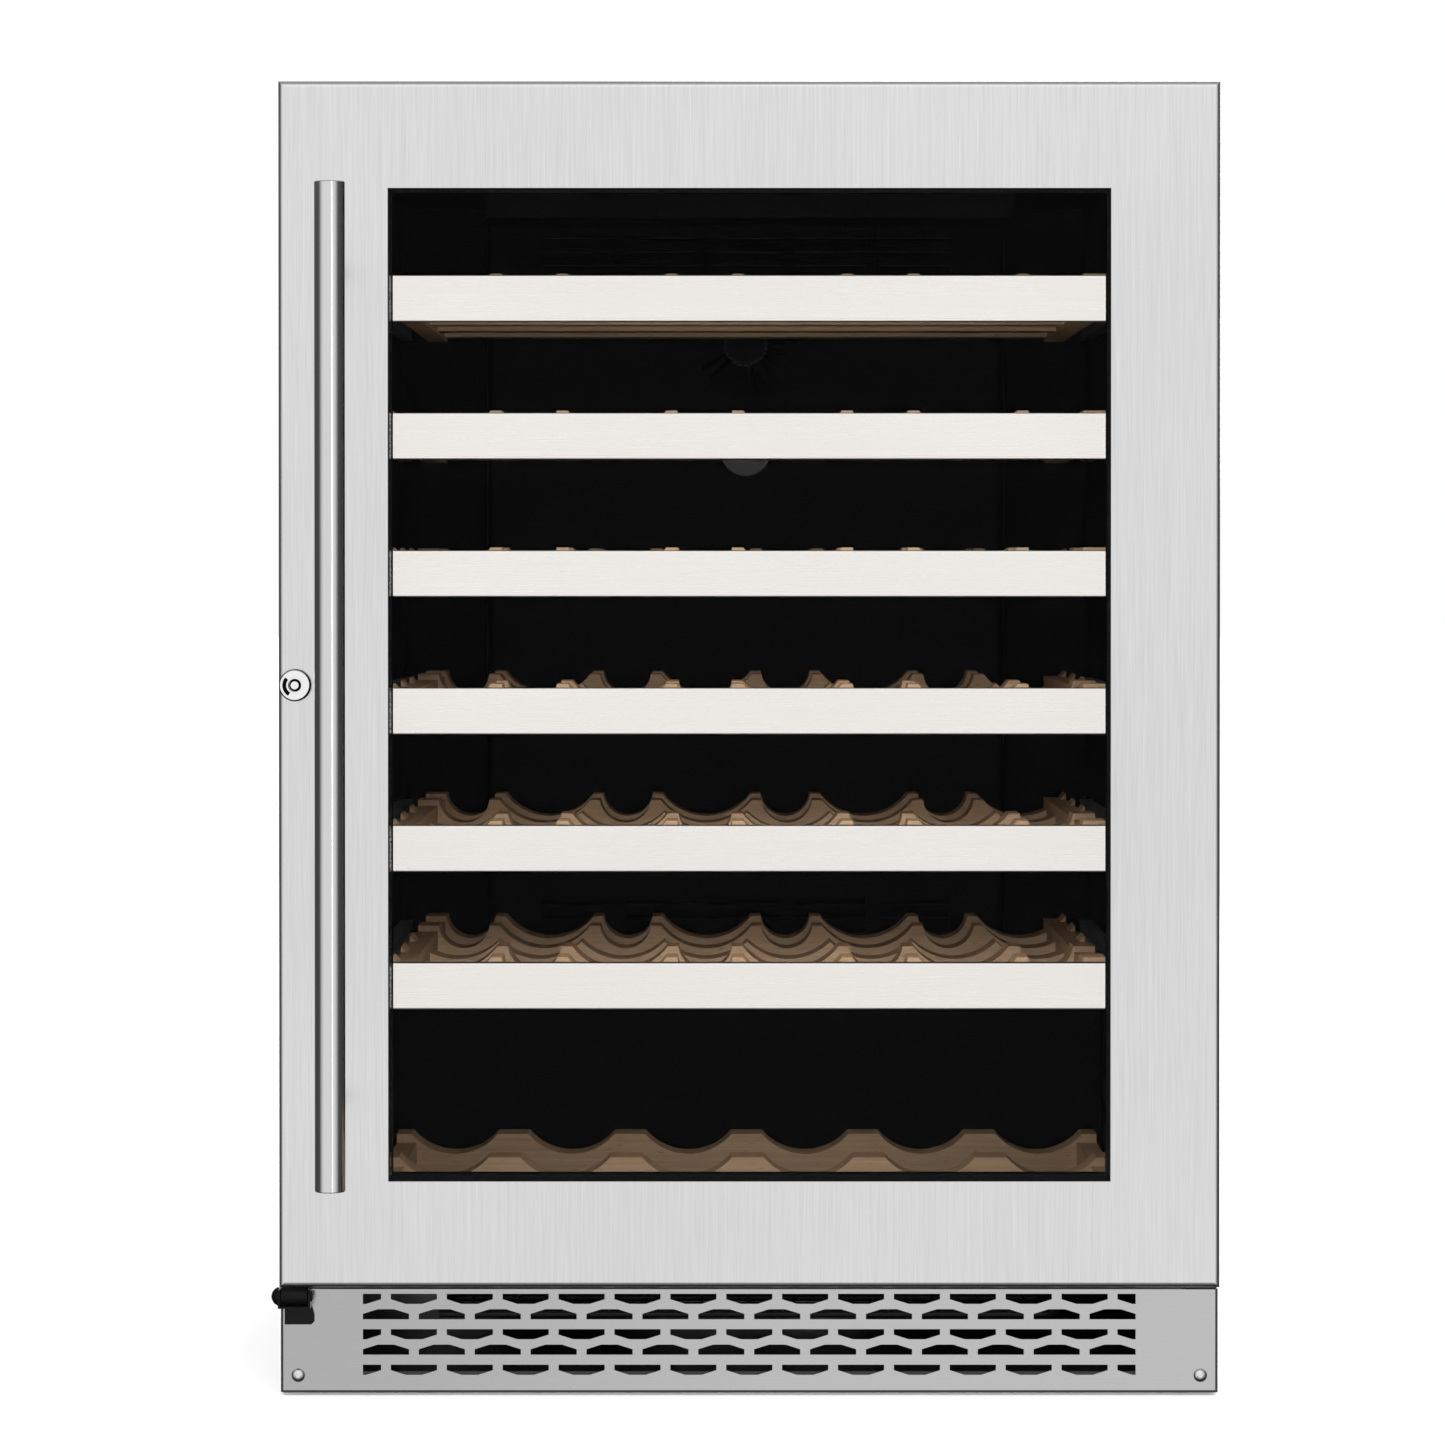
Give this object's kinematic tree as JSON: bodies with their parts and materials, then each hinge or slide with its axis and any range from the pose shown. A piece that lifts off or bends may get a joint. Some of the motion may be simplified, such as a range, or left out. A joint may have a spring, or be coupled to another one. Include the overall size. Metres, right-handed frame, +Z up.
{
  "type": "wine cooler",
  "caption": "Built-under wine cooler with a steel-framed glass door, a bar handle, a door lock, sliding wood shelves with steel fronts, and a slotted toe-kick.",
  "frame": {"origin": "on the floor, under the middle of the cooler's overall size", "axes": "+X towards the hinge side, +Y from the door to the back, +Z up"},
  "size_m": [0.6003, 0.626, 0.834],
  "materials": {
    "black_case": "satin",
    "white_steel": "satin",
    "stainless": "satin",
    "zinc_steel": "satin",
    "chrome": "polished",
    "clear_glass": "gloss",
    "black_spacer": "satin",
    "black_plastic": "satin",
    "liner_plastic": "satin",
    "seal_rubber": "matte",
    "beech": "satin",
    "foam": "matte",
    "bare_aluminium": "satin",
    "gloss_black": "gloss",
    "nylon": "satin"
  },
  "bodies": {
    "cabinet": {"left_side_panel": "black_case", "right_side_panel": "black_case", "top_panel": "black_case", "back_panel": "zinc_steel", "front_frame": "black_case", "base_tray": "black_case", "toe_kick_grille": "stainless", "cabinet_screws": "zinc_steel", "inner_liner": "liner_plastic", "insulation_foam": "foam", "upper_hinge_bracket": "zinc_steel", "lower_hinge_bracket": "black_case", "lock_keeper": "zinc_steel", "roller_bracket": "black_case", "rear_feet": "black_plastic", "slide_channels": "zinc_steel", "lower_rack": "beech", "control_panel": "gloss_black", "air_duct_cover": "liner_plastic", "carbon_filter": "black_plastic", "evaporator": "bare_aluminium", "compressor": "black_case", "condenser_coil": "black_case", "fan_shroud": "black_plastic", "power_inlet": "gloss_black"},
    "door": {"door_skin": "stainless", "door_inner_frame": "black_plastic", "outer_pane": "clear_glass", "inner_pane": "clear_glass", "pane_spacer": "black_spacer", "door_gasket": "seal_rubber", "handle_bar": "stainless", "handle_posts": "stainless", "hinge_bushes": "nylon", "lock_barrel": "chrome"},
    "lock": {"lock_plug": "chrome", "lock_cam": "zinc_steel"},
    "roller": {"door_roller": "nylon"},
    "cold_fan": {"evaporator_fan": "black_plastic"},
    "warm_fan": {"condenser_fan": "black_plastic"},
    "left_foot": {"front_foot_left": "black_plastic"},
    "right_foot": {"front_foot_right": "black_plastic"},
    "shelf_1": {"shelf_1_wood": "beech", "shelf_1_trim": "stainless", "shelf_1_runners": "zinc_steel"},
    "shelf_2": {"shelf_2_wood": "beech", "shelf_2_trim": "stainless", "shelf_2_runners": "zinc_steel"},
    "shelf_3": {"shelf_3_wood": "beech", "shelf_3_trim": "stainless", "shelf_3_runners": "zinc_steel"},
    "shelf_4": {"shelf_4_wood": "beech", "shelf_4_trim": "stainless", "shelf_4_runners": "zinc_steel"},
    "shelf_5": {"shelf_5_wood": "beech", "shelf_5_trim": "stainless", "shelf_5_runners": "zinc_steel"},
    "shelf_6": {"shelf_6_wood": "beech", "shelf_6_trim": "stainless", "shelf_6_runners": "zinc_steel"}
  },
  "joints": [
    {"name": "door_hinge", "type": "hinge", "parent": "cabinet", "child": "door", "pos_m": [0.285, -0.238, 0.45], "axis": [0, 0, 1], "range_deg": [0, 115]},
    {"name": "lock_turn", "type": "hinge", "parent": "door", "child": "lock", "pos_m": [-0.2868, -0.25, 0.45175], "axis": [0, 1, 0], "range_deg": [0, 90]},
    {"name": "roller_spin", "type": "hinge", "parent": "cabinet", "child": "roller", "pos_m": [-0.2881, -0.253, 0.0643], "axis": [1, 0, 0], "continuous": true},
    {"name": "evaporator_fan_spin", "type": "hinge", "parent": "cabinet", "child": "cold_fan", "pos_m": [0, 0.247, 0.69], "axis": [0, 1, 0], "continuous": true},
    {"name": "condenser_fan_spin", "type": "hinge", "parent": "cabinet", "child": "warm_fan", "pos_m": [0.13, 0.179, 0.082], "axis": [0, 1, 0], "continuous": true},
    {"name": "left_foot_adjust", "type": "slide", "parent": "cabinet", "child": "left_foot", "axis": [0, 0, 1], "range_m": [-0.03, 0]},
    {"name": "right_foot_adjust", "type": "slide", "parent": "cabinet", "child": "right_foot", "axis": [0, 0, 1], "range_m": [-0.03, 0]},
    {"name": "shelf_1_slide", "type": "slide", "parent": "cabinet", "child": "shelf_1", "axis": [0, -1, 0], "range_m": [0, 0.1606]},
    {"name": "shelf_2_slide", "type": "slide", "parent": "cabinet", "child": "shelf_2", "axis": [0, -1, 0], "range_m": [0, 0.1606]},
    {"name": "shelf_3_slide", "type": "slide", "parent": "cabinet", "child": "shelf_3", "axis": [0, -1, 0], "range_m": [0, 0.1606]},
    {"name": "shelf_4_slide", "type": "slide", "parent": "cabinet", "child": "shelf_4", "axis": [0, -1, 0], "range_m": [0, 0.1606]},
    {"name": "shelf_5_slide", "type": "slide", "parent": "cabinet", "child": "shelf_5", "axis": [0, -1, 0], "range_m": [0, 0.1606]},
    {"name": "shelf_6_slide", "type": "slide", "parent": "cabinet", "child": "shelf_6", "axis": [0, -1, 0], "range_m": [0, 0.1606]}
  ],
  "couplings": [
    {"joint": "shelf_1_slide", "follows": "door_hinge", "m_per_rad": 0.08},
    {"joint": "shelf_2_slide", "follows": "door_hinge", "m_per_rad": 0.08},
    {"joint": "shelf_3_slide", "follows": "door_hinge", "m_per_rad": 0.08},
    {"joint": "shelf_4_slide", "follows": "door_hinge", "m_per_rad": 0.08},
    {"joint": "shelf_5_slide", "follows": "door_hinge", "m_per_rad": 0.08},
    {"joint": "shelf_6_slide", "follows": "door_hinge", "m_per_rad": 0.08}
  ]
}
